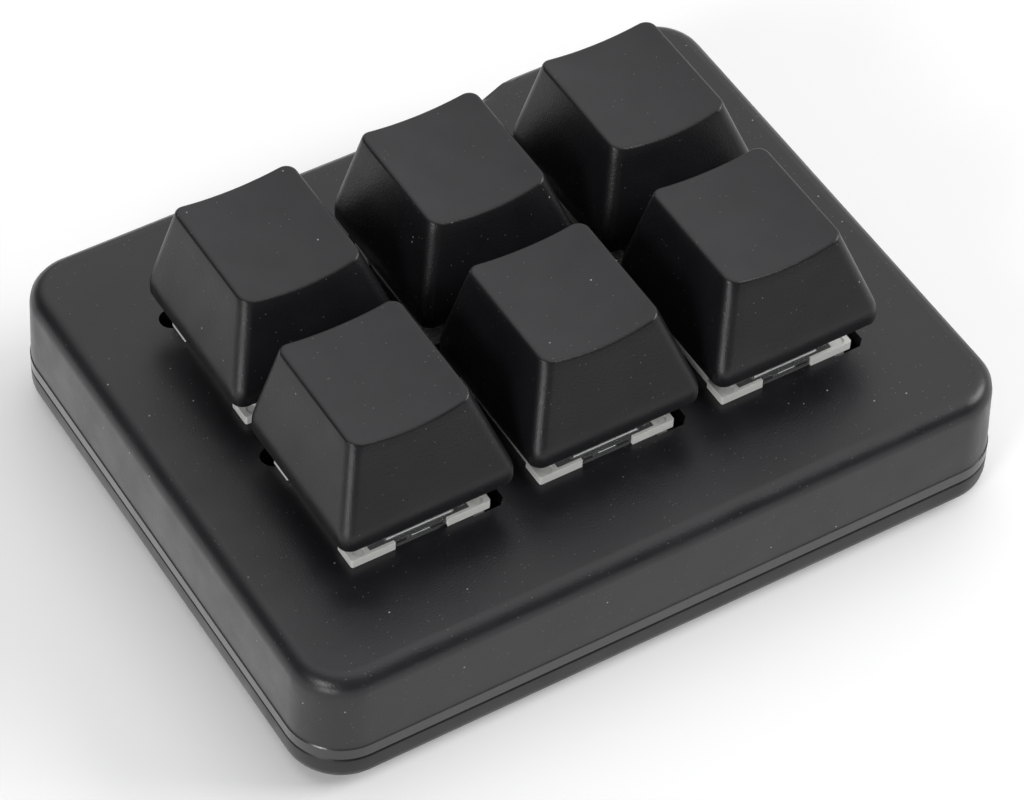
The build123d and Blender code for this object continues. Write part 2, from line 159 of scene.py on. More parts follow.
# Meshes: how near points and how flat faces are joined, and how edges are shaded and softened
CAD_MERGE = 0.002
RING_MERGE = 0.0005
FLAT_ANGLE = 0.6
SMOOTH_ANGLE = 40
CAP_SMOOTH = 50
COIL_SMOOTH = 60
TRIM_SMOOTH = 30
SOFT_ANGLE = 35
SOFT_STEPS = 2
SOFT_WIDTHS = {
    "top_shell": 0.12,
    "bottom_shell": 0.1,
    "feet": 0.12,
    "screws": 0.2,
    "base": 0.07,
    "cover": 0.12,
    "plunger": 0.1,
    "tongue_pads": 0.015,
    "window_rib_highlights": 0.04,
    "window_feet": 0.02,
    "window_slot_shades": 0.03,
}

# Materials: lumps in millimetres across, and the depths of bumps in millimetres
TINT_LUMPS = 9.0
SHEEN_LUMPS = 4.0
WAVE_LUMPS = 6.0
WAVE_DEPTHS = 4
STAIN_LUMPS = 2.5
STAIN_SHADE = 0.82
LINE_DEPTH = 0.004
SCUFF_LUMPS = 0.8
FLOW_LUMPS = 2.4
FLOW_DEPTH = 0.006
CLEAR_IOR = 1.57
LANE_PITCH = 9
LANE_WIDTH = 0.03
LANE_DEPTH = 0.03
MASK_LUMPS = 3.0
MASK_GRAIN = 0.5
MASK_GRAIN_DEPTH = 0.006
FLOOR_LUMPS = 60.0

# Dust: distance between specks and their size, in millimetres, and colour
FINE_DUST = (0.6, 0.07, (0.12, 0.12, 0.117))
COARSE_DUST = (1.5, 0.11, (0.34, 0.34, 0.33))
COARSE_SHARE = 0.7

# Floor: its colour, its lift for the camera, and the strength that reflections see, front and back
FLOOR_COLOUR = (0.94, 0.94, 0.94)
FLOOR_HALF = 3.0
FLOOR_LIFT = 0.12
FLOOR_SEEN = (0.88, 1.0)
FLOOR_SEEN_FROM, FLOOR_SEEN_TO = -0.032, -0.015

# Sky: where its bright part lies, its dim and bright strengths, and the cosines between which it fades
SKY_TOWARD = Vector((0.40, 0.43, 0.81)).normalized()
SKY_DIM, SKY_BRIGHT = 0.14, 1.05
SKY_FROM, SKY_TO = 0.52, 0.85

# Lamps: place, target, size and power
LAMPS = {
    "key_box": ((-0.72, -0.36, 0.48), (0, 0, 0.02), (0.25, 0.25), 2.4),
    "edge_box": ((-0.66, -0.50, 0.06), (0, 0, 0.02), (0.4, 0.1), 1.3),
    "top_box": ((0.2, -0.05, 1.0), (0, 0, 0.0), (1.2, 1.1), 1.0),
    "fill_box": ((0.80, -0.30, 0.52), (0.03, -0.02, 0), (0.5, 0.4), 5.0),
}

# Camera, fitted to the photo
CAMERA_SENSOR = 36
CAMERA_LENS = 148.05
CAMERA_NEAR = 0.01
CAMERA_PLACE = (-0.14677, -0.23001, 0.30978)
CAMERA_TURN = (0.72815, -0.02542, -0.54154)


# Materials

def new_material(name, colour, roughness, metallic=0.0):
    """A material with a principled shader and its node tree."""
    material = bpy.data.materials.new(name)
    material.use_nodes = True
    tree = material.node_tree
    shader = tree.nodes["Principled BSDF"]
    shader.inputs["Base Color"].default_value = (*colour, 1)
    shader.inputs["Roughness"].default_value = roughness
    shader.inputs["Metallic"].default_value = metallic
    return material, tree, shader


def add(tree, kind, **settings):
    """A node with its settings."""
    node = tree.nodes.new(kind)
    for key, value in settings.items():
        setattr(node, key, value)
    return node


def noise(tree, size, detail=3.0, stretch=(1, 1, 1)):
    """Noise in the piece's own space, with lumps about as many millimetres across as size says."""
    place = add(tree, "ShaderNodeTexCoord")
    mapping = add(tree, "ShaderNodeMapping")
    mapping.inputs["Scale"].default_value = stretch
    node = add(tree, "ShaderNodeTexNoise")
    node.inputs["Scale"].default_value = 1 / (size * MM)
    node.inputs["Detail"].default_value = detail
    tree.links.new(place.outputs["Object"], mapping.inputs["Vector"])
    tree.links.new(mapping.outputs["Vector"], node.inputs["Vector"])
    return node.outputs["Fac"]


def spread(tree, value, low, high, start=0.3, end=0.7):
    """A value moved from the range start to end into the range low to high."""
    node = add(tree, "ShaderNodeMapRange")
    tree.links.new(value, node.inputs["Value"])
    node.inputs["From Min"].default_value = start
    node.inputs["From Max"].default_value = end
    node.inputs["To Min"].default_value = low
    node.inputs["To Max"].default_value = high
    return node.outputs["Result"]


def blend_colours(tree, factor, first, second):
    """One of two colours, or between them. Each is a colour or another node's output."""
    node = add(tree, "ShaderNodeMix", data_type="RGBA")
    tree.links.new(factor, node.inputs[0])
    for socket, colour in ((node.inputs[6], first), (node.inputs[7], second)):
        if isinstance(colour, tuple):
            socket.default_value = (*colour, 1)
        else:
            tree.links.new(colour, socket)
    return node.outputs[2]


def specks(tree, cell, size, share):
    """Fine dust: one speck in some cells of a grid of about cell millimetres."""
    place = add(tree, "ShaderNodeTexCoord")
    grid = add(tree, "ShaderNodeTexVoronoi")
    grid.inputs["Scale"].default_value = 1 / (cell * MM)
    tree.links.new(place.outputs["Object"], grid.inputs["Vector"])
    near = spread(tree, grid.outputs["Distance"], 1.0, 0.0, 0.5 * size / cell, size / cell)
    parts = add(tree, "ShaderNodeSeparateColor")
    tree.links.new(grid.outputs["Color"], parts.inputs["Color"])
    chosen = spread(tree, parts.outputs["Red"], 0.0, 1.0, 1 - share, 1 - share + 0.02)
    both = add(tree, "ShaderNodeMath", operation="MULTIPLY")
    tree.links.new(near, both.inputs[0])
    tree.links.new(chosen, both.inputs[1])
    return both.outputs["Value"]


def bump(tree, shader, layers):
    """Chains height layers, each (value, depth in millimetres), into the shader's normal."""
    last = None
    for value, depth in layers:
        node = add(tree, "ShaderNodeBump")
        node.inputs["Strength"].default_value = 1.0
        node.inputs["Distance"].default_value = depth * MM
        tree.links.new(value, node.inputs["Height"])
        if last is not None:
            tree.links.new(last, node.inputs["Normal"])
        last = node.outputs["Normal"]
    tree.links.new(last, shader.inputs["Normal"])


def moulded(name, colour, roughness, grain, depth, dust=0.0, uneven=0.05, tint=0.12, gloss=0.5):
    """Moulded plastic: eroded grain, uneven sheen, a little tint, and dust."""
    material, tree, shader = new_material(name, colour, roughness)
    shader.inputs["Specular IOR Level"].default_value = gloss
    dark = tuple(c * (1 - tint) for c in colour)
    light = tuple(c * (1 + tint) for c in colour)
    shade = blend_colours(tree, spread(tree, noise(tree, TINT_LUMPS), 0, 1), dark, light)
    if dust:
        for (cell, size, tone), share in ((FINE_DUST, dust), (COARSE_DUST, COARSE_SHARE * dust)):
            shade = blend_colours(tree, specks(tree, cell, size, share), shade, tone)
    tree.links.new(shade, shader.inputs["Base Color"])
    sheen = spread(tree, noise(tree, SHEEN_LUMPS, 5.0), roughness - uneven, roughness + uneven)
    tree.links.new(sheen, shader.inputs["Roughness"])
    waves = noise(tree, WAVE_LUMPS, 1.0)
    bump(tree, shader, [(noise(tree, grain, 2.0), depth), (waves, WAVE_DEPTHS * depth)])
    return material


def metal(name, colour, roughness, stretch=(1, 1, 1), line=0.12):
    """Sheet or wire metal with drawn lines and a cloudy sheen."""
    material, tree, shader = new_material(name, colour, roughness, metallic=1.0)
    dark = tuple(c * STAIN_SHADE for c in colour)
    shade = blend_colours(tree, spread(tree, noise(tree, STAIN_LUMPS), 0, 1), dark, colour)
    tree.links.new(shade, shader.inputs["Base Color"])
    sheen = spread(tree, noise(tree, line, 3.0, stretch), roughness * 0.75, roughness * 1.25)
    tree.links.new(sheen, shader.inputs["Roughness"])
    bump(tree, shader, [(noise(tree, line, 2.0, stretch), LINE_DEPTH)])
    return material


def clear_plastic(name, colour, roughness, clear=0.72):
    """Clear moulded plastic with faint flow marks and scuffs, and a little haze."""
    material, tree, shader = new_material(name, colour, roughness)
    shader.inputs["Transmission Weight"].default_value = clear
    shader.inputs["IOR"].default_value = CLEAR_IOR
    sheen = spread(tree, noise(tree, SCUFF_LUMPS, 4.0), roughness * 0.6, roughness * 1.6)
    tree.links.new(sheen, shader.inputs["Roughness"])
    bump(tree, shader, [(noise(tree, FLOW_LUMPS, 1.0), FLOW_DEPTH)])
    return material


def board_mask(name):
    """Black solder mask over faint copper lanes."""
    mask, lane = (0.010, 0.012, 0.011), (0.020, 0.024, 0.020)
    material, tree, shader = new_material(name, mask, 0.35)
    place = add(tree, "ShaderNodeTexCoord")
    lanes = add(tree, "ShaderNodeTexBrick")
    lanes.inputs["Scale"].default_value = 1 / (LANE_PITCH * MM)
    lanes.inputs["Mortar Size"].default_value = LANE_WIDTH
    tree.links.new(place.outputs["Object"], lanes.inputs["Vector"])
    shade = blend_colours(tree, lanes.outputs["Fac"], mask, lane)
    tree.links.new(shade, shader.inputs["Base Color"])
    sheen = spread(tree, noise(tree, MASK_LUMPS), 0.28, 0.42)
    tree.links.new(sheen, shader.inputs["Roughness"])
    grain = noise(tree, MASK_GRAIN)
    bump(tree, shader, [(lanes.outputs["Fac"], LANE_DEPTH), (grain, MASK_GRAIN_DEPTH)])
    return material


case_black = moulded("case_black", (0.0100, 0.0095, 0.0118), 0.34, 0.18, 0.017, dust=0.5, gloss=0.53)
# The cap's sides and top are copies of one plastic: the side copy has more grain and less gloss, and a
# darker colour that paints shade on the sides
cap_painted_shade_side = moulded("keycap_painted_shade_side", (0.0074, 0.0071, 0.0086), 0.36, 0.20, 0.024, dust=0.3, gloss=0.45)
cap_top = moulded("keycap_top", (0.0098, 0.0092, 0.0118), 0.45, 0.14, 0.008, dust=0.25)
cover_black = moulded("cover_black", (0.0085, 0.0082, 0.0085), 0.42, 0.2, 0.02, dust=0.2, gloss=0.4)
trim_grey = moulded("trim_grey", (0.042, 0.042, 0.044), 0.24, 0.3, 0.004, uneven=0.06)
rim_white = moulded("rim_white", (0.82, 0.82, 0.79), 0.42, 0.2, 0.006, tint=0.05)
rim_shader = rim_white.node_tree.nodes["Principled BSDF"]
rim_shader.inputs["Subsurface Weight"].default_value = 0.15
rim_shader.inputs["Subsurface Radius"].default_value = (0.001, 0.001, 0.0009)
cover_clear = clear_plastic("cover_clear", (0.52, 0.53, 0.53), 0.05, 0.82)
# Whitish, nearly opaque plastic for the window's ribs, which paints the highlights that run along their
# edges
cover_painted_highlight = clear_plastic("cover_painted_highlight", (0.93, 0.94, 0.94), 0.25, 0.1)
MATERIALS = {
    "case": case_black,
    "trim": trim_grey,
    "keycap": cap_painted_shade_side,
    "switch_base": rim_white,
    "switch_cover": cover_clear,
    "stem": moulded("stem_dark", (0.03, 0.03, 0.032), 0.38, 0.2, 0.006),
    "spring": metal("spring_steel", (0.62, 0.62, 0.64), 0.26, line=0.08),
    "contact": metal("contact_brass", (0.80, 0.60, 0.28), 0.30, stretch=(1, 1, 8)),
    "board": board_mask("board_mask"),
    "chip": moulded("chip_black", (0.03, 0.03, 0.03), 0.5, 0.12, 0.01),
    "lamp": clear_plastic("lamp_clear", (0.90, 0.87, 0.74), 0.2),
    "socket_metal": metal("socket_plate", (0.62, 0.61, 0.59), 0.3, stretch=(1, 8, 1)),
    "socket_plastic": moulded("socket_black", (0.03, 0.03, 0.03), 0.45, 0.2, 0.008),
    "screw": metal("screw_black", (0.16, 0.16, 0.17), 0.36),
    "foot": moulded("foot_rubber", (0.035, 0.035, 0.036), 0.78, 0.35, 0.03, dust=0.1),
}


# Mesh helpers

def object_from(name, bm, materials=()):
    """An object in the scene from a bmesh, which is used up."""
    mesh = bpy.data.meshes.new(name)
    bm.to_mesh(mesh)
    bm.free()
    for material in materials:
        mesh.materials.append(material)
    piece = bpy.data.objects.new(name, mesh)
    bpy.context.scene.collection.objects.link(piece)
    return piece


def new_piece(name, bm, materials, body, slot, *nodes):
    """A piece from a bmesh, riding on a body in place of some nodes."""
    bmesh.ops.recalc_face_normals(bm, faces=bm.faces)
    piece = object_from(name, bm, materials)
    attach(piece, body)
    if nodes:
        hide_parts(*nodes)
    return piece


def smooth(piece, angle=SMOOTH_ANGLE):
    """Shades a piece smoothly across edges flatter than angle."""
    piece.data.shade_smooth()
    piece.data.set_sharp_from_angle(angle=math.radians(angle))


def soften(piece, width):
    """Rounds the piece's sharp edges by a small width in millimetres."""
    edge = piece.modifiers.new("soft_edge", "BEVEL")
    edge.width = width * MM
    edge.segments = SOFT_STEPS
    edge.limit_method = "ANGLE"
    edge.angle_limit = math.radians(SOFT_ANGLE)
    edge.use_clamp_overlap = True
    even = piece.modifiers.new("even_shade", "WEIGHTED_NORMAL")
    even.keep_sharp = True


def middle_of(node):
    """The middle of a node's box in plan, in millimetres."""
    low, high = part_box(node)
    return (low.x + high.x) / 2 / MM, (low.y + high.y) / 2 / MM


def node_bmesh(node, chosen=None, reach=0.0):
    """A node's mesh with flat faces joined up, and steps narrower than reach closed at chosen points."""
    bm = bmesh.new()
    bm.from_mesh(frame["nodes"][node].data)
    bmesh.ops.remove_doubles(bm, verts=bm.verts, dist=CAD_MERGE * MM)
    if chosen:
        bmesh.ops.remove_doubles(bm, verts=[v for v in bm.verts if chosen(v.co / MM)], dist=reach * MM)
    bmesh.ops.dissolve_limit(bm, angle_limit=math.radians(FLAT_ANGLE), verts=bm.verts, edges=bm.edges)
    return bm


def dressed(node, name, slot, body, width, bm=None):
    """A softened copy of a node, or of a mesh made from it, in its place."""
    piece = new_piece(name, bm or node_bmesh(node), [MATERIALS[slot]], body, slot, node)
    smooth(piece)
    soften(piece, width)
    return piece


def skin(bm, rings, material_index=0):
    """Joins rings of points, each with the same count, into a skin. Returns the rings' vertices."""
    rows = [[bm.verts.new(Vector(p) * MM) for p in ring] for ring in rings]
    for low, high in zip(rows, rows[1:]):
        for i in range(len(low)):
            j = (i + 1) % len(low)
            face = bm.faces.new((low[i], low[j], high[j], high[i]))
            face.material_index = material_index
    return rows


def close_ring(bm, row, centre, material_index=0):
    """Closes a ring of vertices with a fan to a middle point."""
    middle = bm.verts.new(Vector(centre) * MM)
    for i in range(len(row)):
        face = bm.faces.new((row[i], row[(i + 1) % len(row)], middle))
        face.material_index = material_index


def circle(x, y, radius, sides):
    """Points of a circle in plan."""
    points = []
    for i in range(sides):
        turn = 2 * math.pi * i / sides
        points.append((x + radius * math.cos(turn), y + radius * math.sin(turn)))
    return points


def prism(bm, plan, low, high):
    """A closed block with the given plan between two heights."""
    rows = skin(bm, [[(x, y, z) for x, y in plan] for z in (low, high)])
    bm.faces.new(rows[0])
    bm.faces.new(rows[1])


def cross_rod(bm, x, y, low, high, radius, bars, depth):
    """A round bar with a cross-shaped socket that opens at its lower end."""
    (long_x, thick_x), (thick_y, long_y) = bars
    a, b, c, d = long_x / 2, thick_x / 2, thick_y / 2, long_y / 2
    cross = [(a, -b), (a, b), (c, b), (c, d), (-c, d), (-c, b),
             (-a, b), (-a, -b), (-c, -b), (-c, -d), (c, -d), (c, -b)]
    round_plan = circle(x, y, radius, ROD_SIDES)
    outer = skin(bm, [[(u, v, z) for u, v in round_plan] for z in (low, high)])
    inner = skin(bm, [[(x + u, y + v, z) for u, v in cross] for z in (low, low + depth)])
    bm.faces.new(outer[1])
    bm.faces.new(inner[1])
    rim = []
    for row in (outer[0], inner[0]):
        for i in range(len(row)):
            rim.append(bm.edges.get((row[i], row[(i + 1) % len(row)])))
    bmesh.ops.triangle_fill(bm, edges=rim, use_beauty=True)


def bar(bm, low, high):
    """A block between two corners, in millimetres."""
    (x0, y0, z0), (x1, y1, z1) = low, high
    prism(bm, [(x0, y0), (x1, y0), (x1, y1), (x0, y1)], z0, z1)


# Keycaps

def dish_height(x):
    """The dished top's height at a distance from the cap's middle line."""
    half = CAP_TOP / 2
    radius = (half * half + CAP_DISH * CAP_DISH) / (2 * CAP_DISH)
    return CAP_HEIGHT - CAP_DISH + radius - math.sqrt(radius * radius - x * x)


def lean_at(z):
    """How far up the slope a height lies, with a soft bend out of the upright skirt."""
    if z <= BEND_BOTTOM:
        return 0.0
    if z >= BEND_TOP:
        return z - CAP_SKIRT
    return (z - BEND_BOTTOM) ** 2 / (4 * CAP_SKIRT_BLEND)


def cap_ring(z, inset=0.0, corner=None):
    """Points of the cap's plan at a height, each (x, y), going round from the front right corner."""
    share = lean_at(z) / (CAP_HEIGHT - CAP_SKIRT)
    half = CAP_SIZE / 2 - share * (CAP_SIZE - CAP_TOP) / 2 - inset
    front = -CAP_SIZE / 2 + share * CAP_FRONT_LEAN + inset
    back = CAP_SIZE / 2 - share * CAP_BACK_LEAN - inset
    if corner is None:
        corner = CAP_CORNER - inset
    middles = [(half - corner, front + corner), (half - corner, back - corner),
               (corner - half, back - corner), (corner - half, front + corner)]
    points = []
    for quarter, (x, y) in enumerate(middles):
        for step in range(CORNER_STEPS + 1):
            turn = math.pi / 2 * (quarter - 1 + step / CORNER_STEPS)
            points.append((x + corner * math.cos(turn), y + corner * math.sin(turn)))
    ring = []
    corner_points = CORNER_STEPS + 1
    for i, (x, y) in enumerate(points):
        ring.append((x, y))
        if i % corner_points == CORNER_STEPS:
            next_x, next_y = points[(i + 1) % len(points)]
            for step in range(1, SIDE_STEPS):
                t = step / SIDE_STEPS
                ring.append((x + t * (next_x - x), y + t * (next_y - y)))
    return ring


def crown_edge(index):
    """Where a line up the cap's wall meets the dished top."""
    low, high = BEND_TOP, CAP_HEIGHT + CAP_DISH
    for _ in range(CROWN_HALVINGS):
        z = (low + high) / 2
        if z < dish_height(cap_ring(z)[index][0]):
            low = z
        else:
            high = z
    return z


def crown_arc(index, z):
    """Points that round off the crown's edge at one place, from the wall to the dish."""
    x, y = cap_ring(z)[index]
    edge = Vector((x, y, z))
    below = Vector((*cap_ring(z - CROWN_PROBE)[index], z - CROWN_PROBE))
    inner_x, inner_y = cap_ring(z, CROWN_PROBE)[index]
    down = (below - edge).normalized()
    inward = (Vector((inner_x, inner_y, dish_height(inner_x))) - edge).normalized()
    angle = down.angle(inward)
    reach = CAP_CROWN / math.tan(angle / 2)
    middle = edge + (down + inward).normalized() * (CAP_CROWN / math.sin(angle / 2))
    first = edge + down * reach - middle
    last = edge + inward * reach - middle
    arc = []
    turn = math.pi - angle
    for step in range(CROWN_STEPS + 1):
        t = step / CROWN_STEPS
        arc.append(middle + (first * math.sin((1 - t) * turn) + last * math.sin(t * turn)) / math.sin(turn))
    return arc


def cap_rings():
    """The cap's outside as rings of points from its lower lip to the crown."""
    rings = []
    for step in range(LIP_STEPS + 1):
        turn = math.pi / 2 * step / LIP_STEPS
        z = CAP_LIP * (1 - math.cos(turn))
        rings.append([(x, y, z) for x, y in cap_ring(z, CAP_LIP * (1 - math.sin(turn)))])
    for z in BEND_HEIGHTS:
        rings.append([(x, y, z) for x, y in cap_ring(z)])
    count = len(rings[0])
    arcs = [crown_arc(i, crown_edge(i)) for i in range(count)]
    for row in range(1, SLOPE_STEPS):
        ring = []
        for i in range(count):
            z = BEND_TOP + (arcs[i][0].z - BEND_TOP) * row / SLOPE_STEPS
            ring.append((*cap_ring(z)[i], z))
        rings.append(ring)
    for step in range(CROWN_STEPS + 1):
        rings.append([tuple(arcs[i][step]) for i in range(count)])
    return rings


def keycap_shape():
    """Rings of one cap's outside, dish and inside."""
    outside = cap_rings()
    edge = outside[-1]
    centre_y = sum(p[1] for p in edge) / len(edge)
    dish = [edge]
    for share in DISH_SHARES:
        ring = []
        for x, y, _ in edge:
            ring.append((x * share, centre_y + (y - centre_y) * share, dish_height(x * share)))
        dish.append(ring)
    inside = [outside[0]]
    inside.append([(x, y, 0.0) for x, y in cap_ring(0, CAP_WALL - CAP_INNER_LIP, CAP_INNER_CORNER)])
    for z in (CAP_INNER_LIP, CAP_SKIRT, BEND_TOP, (CAP_SKIRT + CAP_CEILING) / 2, CAP_CEILING):
        inside.append([(x, y, z) for x, y in cap_ring(z, CAP_WALL, CAP_INNER_CORNER)])
    return outside, dish, inside, centre_y


cap_outside, cap_dish, cap_inside, cap_centre_y = keycap_shape()


def moved(rings, x, y, z):
    """Rings of points shifted to a place."""
    return [[(px + x, py + y, pz + z) for px, py, pz in ring] for ring in rings]


def keycap(key):
    """One cap over its switch."""
    x, y = middle_of(f"keycap_{key}")
    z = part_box(f"keycap_{key}")[0].z / MM
    bm = bmesh.new()
    skin(bm, moved(cap_outside, x, y, z))
    top = skin(bm, moved(cap_dish, x, y, z), 1)
    close_ring(bm, top[-1], (x, y + cap_centre_y, z + dish_height(0)), 1)
    inner = skin(bm, moved(cap_inside, x, y, z))
    close_ring(bm, inner[-1], (x, y, z + CAP_CEILING))
    bmesh.ops.remove_doubles(bm, verts=bm.verts, dist=RING_MERGE * MM)
    cross_rod(bm, x, y, z + HUB_FOOT, z + CAP_CEILING + HUB_SINK, HUB_RADIUS, HUB_BARS, HUB_DEPTH)
    # The walls take the darker copy of the cap's plastic, which paints shade on them; the dished top takes
    # the lighter copy
    piece = new_piece(f"cap_{key}", bm, [cap_painted_shade_side, cap_top], f"key_{key}", "keycap", f"keycap_{key}")
    smooth(piece, CAP_SMOOTH)


# Springs

def spring(key):
    """A round-wire coil in the spring's place."""
    low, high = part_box(f"spring_{key}")
    x, y = middle_of(f"spring_{key}")
    bottom, top = low.z / MM + COIL_WIRE, high.z / MM - COIL_WIRE
    steps = COIL_TURNS * COIL_STEPS
    rings = []
    for step in range(steps + 1):
        turn = 2 * math.pi * step / COIL_STEPS
        out = Vector((math.cos(turn), math.sin(turn), 0))
        middle = Vector((x, y, bottom + (top - bottom) * step / steps)) + out * COIL_RADIUS
        ring = []
        for side in range(COIL_SIDES):
            a = 2 * math.pi * side / COIL_SIDES
            ring.append(middle + (out * math.cos(a) + Vector((0, 0, math.sin(a)))) * COIL_WIRE)
        rings.append(ring)
    bm = bmesh.new()
    rows = skin(bm, rings)
    bm.faces.new(rows[0])
    bm.faces.new(rows[-1])
    piece = new_piece(f"coil_{key}", bm, [MATERIALS["spring"]], "housing", "spring", f"spring_{key}")
    smooth(piece, COIL_SMOOTH)
    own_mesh(piece)


# Switch bases

def base_cutters(node):
    """Blocks that cut round ejector marks into the rim, and the rim's sill away at the light window."""
    low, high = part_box(node)
    x, y = middle_of(node)
    mark_floor = high.z / MM - MARK_DEPTH
    bm = bmesh.new()
    for side_x in (-1, 1):
        for side_y in (-1, 1):
            plan = circle(x + side_x * MARK_X, y + side_y * MARK_Y, MARK_RADIUS, MARK_SIDES)
            prism(bm, plan, mark_floor, mark_floor + CUT_OVER)
    front = low.y / MM
    bar(bm, (x - WINDOW_WIDTH / 2, front - CUT_OVER, PLATE - OVERLAP),
        (x + WINDOW_WIDTH / 2, front + LENS_SET_BACK + LENS_GAP, PLATE + LENS_SILL + CUT_SPARE))
    bmesh.ops.recalc_face_normals(bm, faces=bm.faces)
    return object_from("marks", bm)


def switch_base(key):
    """The base with its marks and softened edges."""
    node = f"switch_base_{key}"
    piece = new_piece(f"base_{key}", node_bmesh(node), [rim_white], "housing", "switch_base", node)
    cutter = base_cutters(node)
    cut = piece.modifiers.new("marks", "BOOLEAN")
    cut.object = cutter
    cut.solver = "EXACT"
    view = bpy.context.evaluated_depsgraph_get()
    cut_mesh = bpy.data.meshes.new_from_object(piece.evaluated_get(view))
    piece.modifiers.clear()
    piece.data = cut_mesh
    bpy.data.objects.remove(cutter)
    smooth(piece)
    soften(piece, SOFT_WIDTHS["base"])


# Screws

def screws():
    """Blackened screws with cross sockets."""
    low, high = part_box("case_screws")
    bm = bmesh.new()
    head_top = low.z / MM + SCREW_HEAD
    for x in (low.x / MM + SCREW_HEAD_RADIUS, high.x / MM - SCREW_HEAD_RADIUS):
        for y in (low.y / MM + SCREW_HEAD_RADIUS, high.y / MM - SCREW_HEAD_RADIUS):
            cross_rod(bm, x, y, low.z / MM, head_top, SCREW_HEAD_RADIUS, SCREW_BARS, SCREW_SOCKET)
            prism(bm, circle(x, y, SCREW_RADIUS, SCREW_SIDES), head_top - SCREW_SINK, high.z / MM)
    piece = new_piece("screws", bm, [MATERIALS["screw"]], "housing", "screw", "case_screws")
    smooth(piece)
    soften(piece, SOFT_WIDTHS["screws"])


# Case

def at_recess_end(point):
    """Whether a point lies on the rounded edge at an end of the back recess."""
    beside = RECESS_FROM < abs(point.x) < RECESS_TO
    return beside and point.y > RECESS_BACK and point.z > PLATE - RECESS_DROP


def upper_shell():
    """The upper case, with the narrow steps at the ends of the back recess closed up."""
    bm = node_bmesh("upper_case", at_recess_end, RECESS_STEP)
    dressed("upper_case", "top_shell", "case", "housing", SOFT_WIDTHS["top_shell"], bm)


def trim_plan(inset):
    """Points of the trim ring's plan, drawn in from the solid's outer face."""
    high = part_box("trim_ring")[1]
    corner = TRIM_CORNER - inset
    points = []
    for quarter, (side_x, side_y) in enumerate(((1, 1), (-1, 1), (-1, -1), (1, -1))):
        for step in range(2 * CORNER_STEPS + 1):
            turn = math.pi / 2 * (quarter + step / (2 * CORNER_STEPS))
            x = side_x * (high.x / MM - TRIM_CORNER) + corner * math.cos(turn)
            y = side_y * (high.y / MM - TRIM_CORNER) + corner * math.sin(turn)
            points.append((x, y))
    return points


def trim():
    """The trim ring, nearly flush with the walls and with narrow seams."""
    low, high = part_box("trim_ring")
    bottom, top = low.z / MM, high.z / MM
    edge = TRIM_DRAW_IN + TRIM_EDGE
    profile = [(TRIM_DEPTH, bottom), (edge, bottom), (TRIM_DRAW_IN, bottom + TRIM_EDGE),
               (TRIM_DRAW_IN, top - TRIM_EDGE), (edge, top), (TRIM_DEPTH, top), (TRIM_DEPTH, bottom)]
    bm = bmesh.new()
    skin(bm, [[(x, y, z) for x, y in trim_plan(inset)] for inset, z in profile])
    bmesh.ops.remove_doubles(bm, verts=bm.verts, dist=RING_MERGE * MM)
    piece = new_piece("trim", bm, [trim_grey], "housing", "trim", "trim_ring")
    smooth(piece, TRIM_SMOOTH)


# Small additions

def added(name, bm, material, slot):
    """A fixed piece that stands for no node of its own."""
    piece = new_piece(name, bm, [material], "housing", slot)
    smooth(piece)
    soften(piece, SOFT_WIDTHS[name])


def tongue_pads():
    """Gilt contact pads on both faces of the socket's tongue."""
    low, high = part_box("socket_tongue")
    middle = (low.z + high.z) / 2 / MM
    middle_x = middle_of("socket_tongue")[0]
    front = high.y / MM - PAD_SET_BACK
    bm = bmesh.new()
    for face in (-1, 1):
        for i in range(PAD_COUNT):
            x = middle_x + (i - (PAD_COUNT - 1) / 2) * PAD_PITCH
            z = middle + face * TONGUE_THICK / 2
            bar(bm, (x - PAD_WIDTH / 2, front - PAD_LENGTH, z - PAD_THICK),
                (x + PAD_WIDTH / 2, front, z + PAD_THICK))
    added("tongue_pads", bm, MATERIALS["contact"], "contact")


def light_windows():
    """Ribs of each light window in a whitish plastic that paints highlights along their edges, dark blocks
    that paint the shade in the lens's slots, and the lens foot that closes the rim's gap.
    """
    rib_highlights, feet, slot_shades = bmesh.new(), bmesh.new(), bmesh.new()
    for key in KEYS:
        x = middle_of(f"switch_base_{key}")[0]
        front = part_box(f"switch_base_{key}")[0].y / MM
        lens_y = front + LENS_SET_BACK
        # These ribs take the whitish plastic, which paints the highlights along the lens and bar edges
        for y, (length, depth, bottom, top) in ((lens_y, LENS_RIB_HIGHLIGHT), (front + BAR_SET_BACK, BAR_RIB_HIGHLIGHT)):
            bar(rib_highlights, (x - length / 2, y - OVERLAP, PLATE + bottom),
                (x + length / 2, y + depth, PLATE + top))
        half = WINDOW_WIDTH / 2 - LENS_GAP
        bar(feet, (x - half, lens_y, PLATE), (x + half, lens_y + LENS_GAP, PLATE + LENS_SILL + OVERLAP))
        # Dark blocks behind the lens paint the shade in its slots
        for left, right in LENS_SLOT_SHADES:
            bar(slot_shades, (x + left, lens_y - SLOT_SHADE_PROUD, PLATE + SLOT_SHADE_LOW),
                (x + right, lens_y + SLOT_SHADE_DEPTH, PLATE + SLOT_SHADE_HIGH))
    added("window_rib_highlights", rib_highlights, cover_painted_highlight, "switch_cover")
    added("window_feet", feet, cover_clear, "switch_cover")
    added("window_slot_shades", slot_shades, MATERIALS["stem"], "stem")


# Build

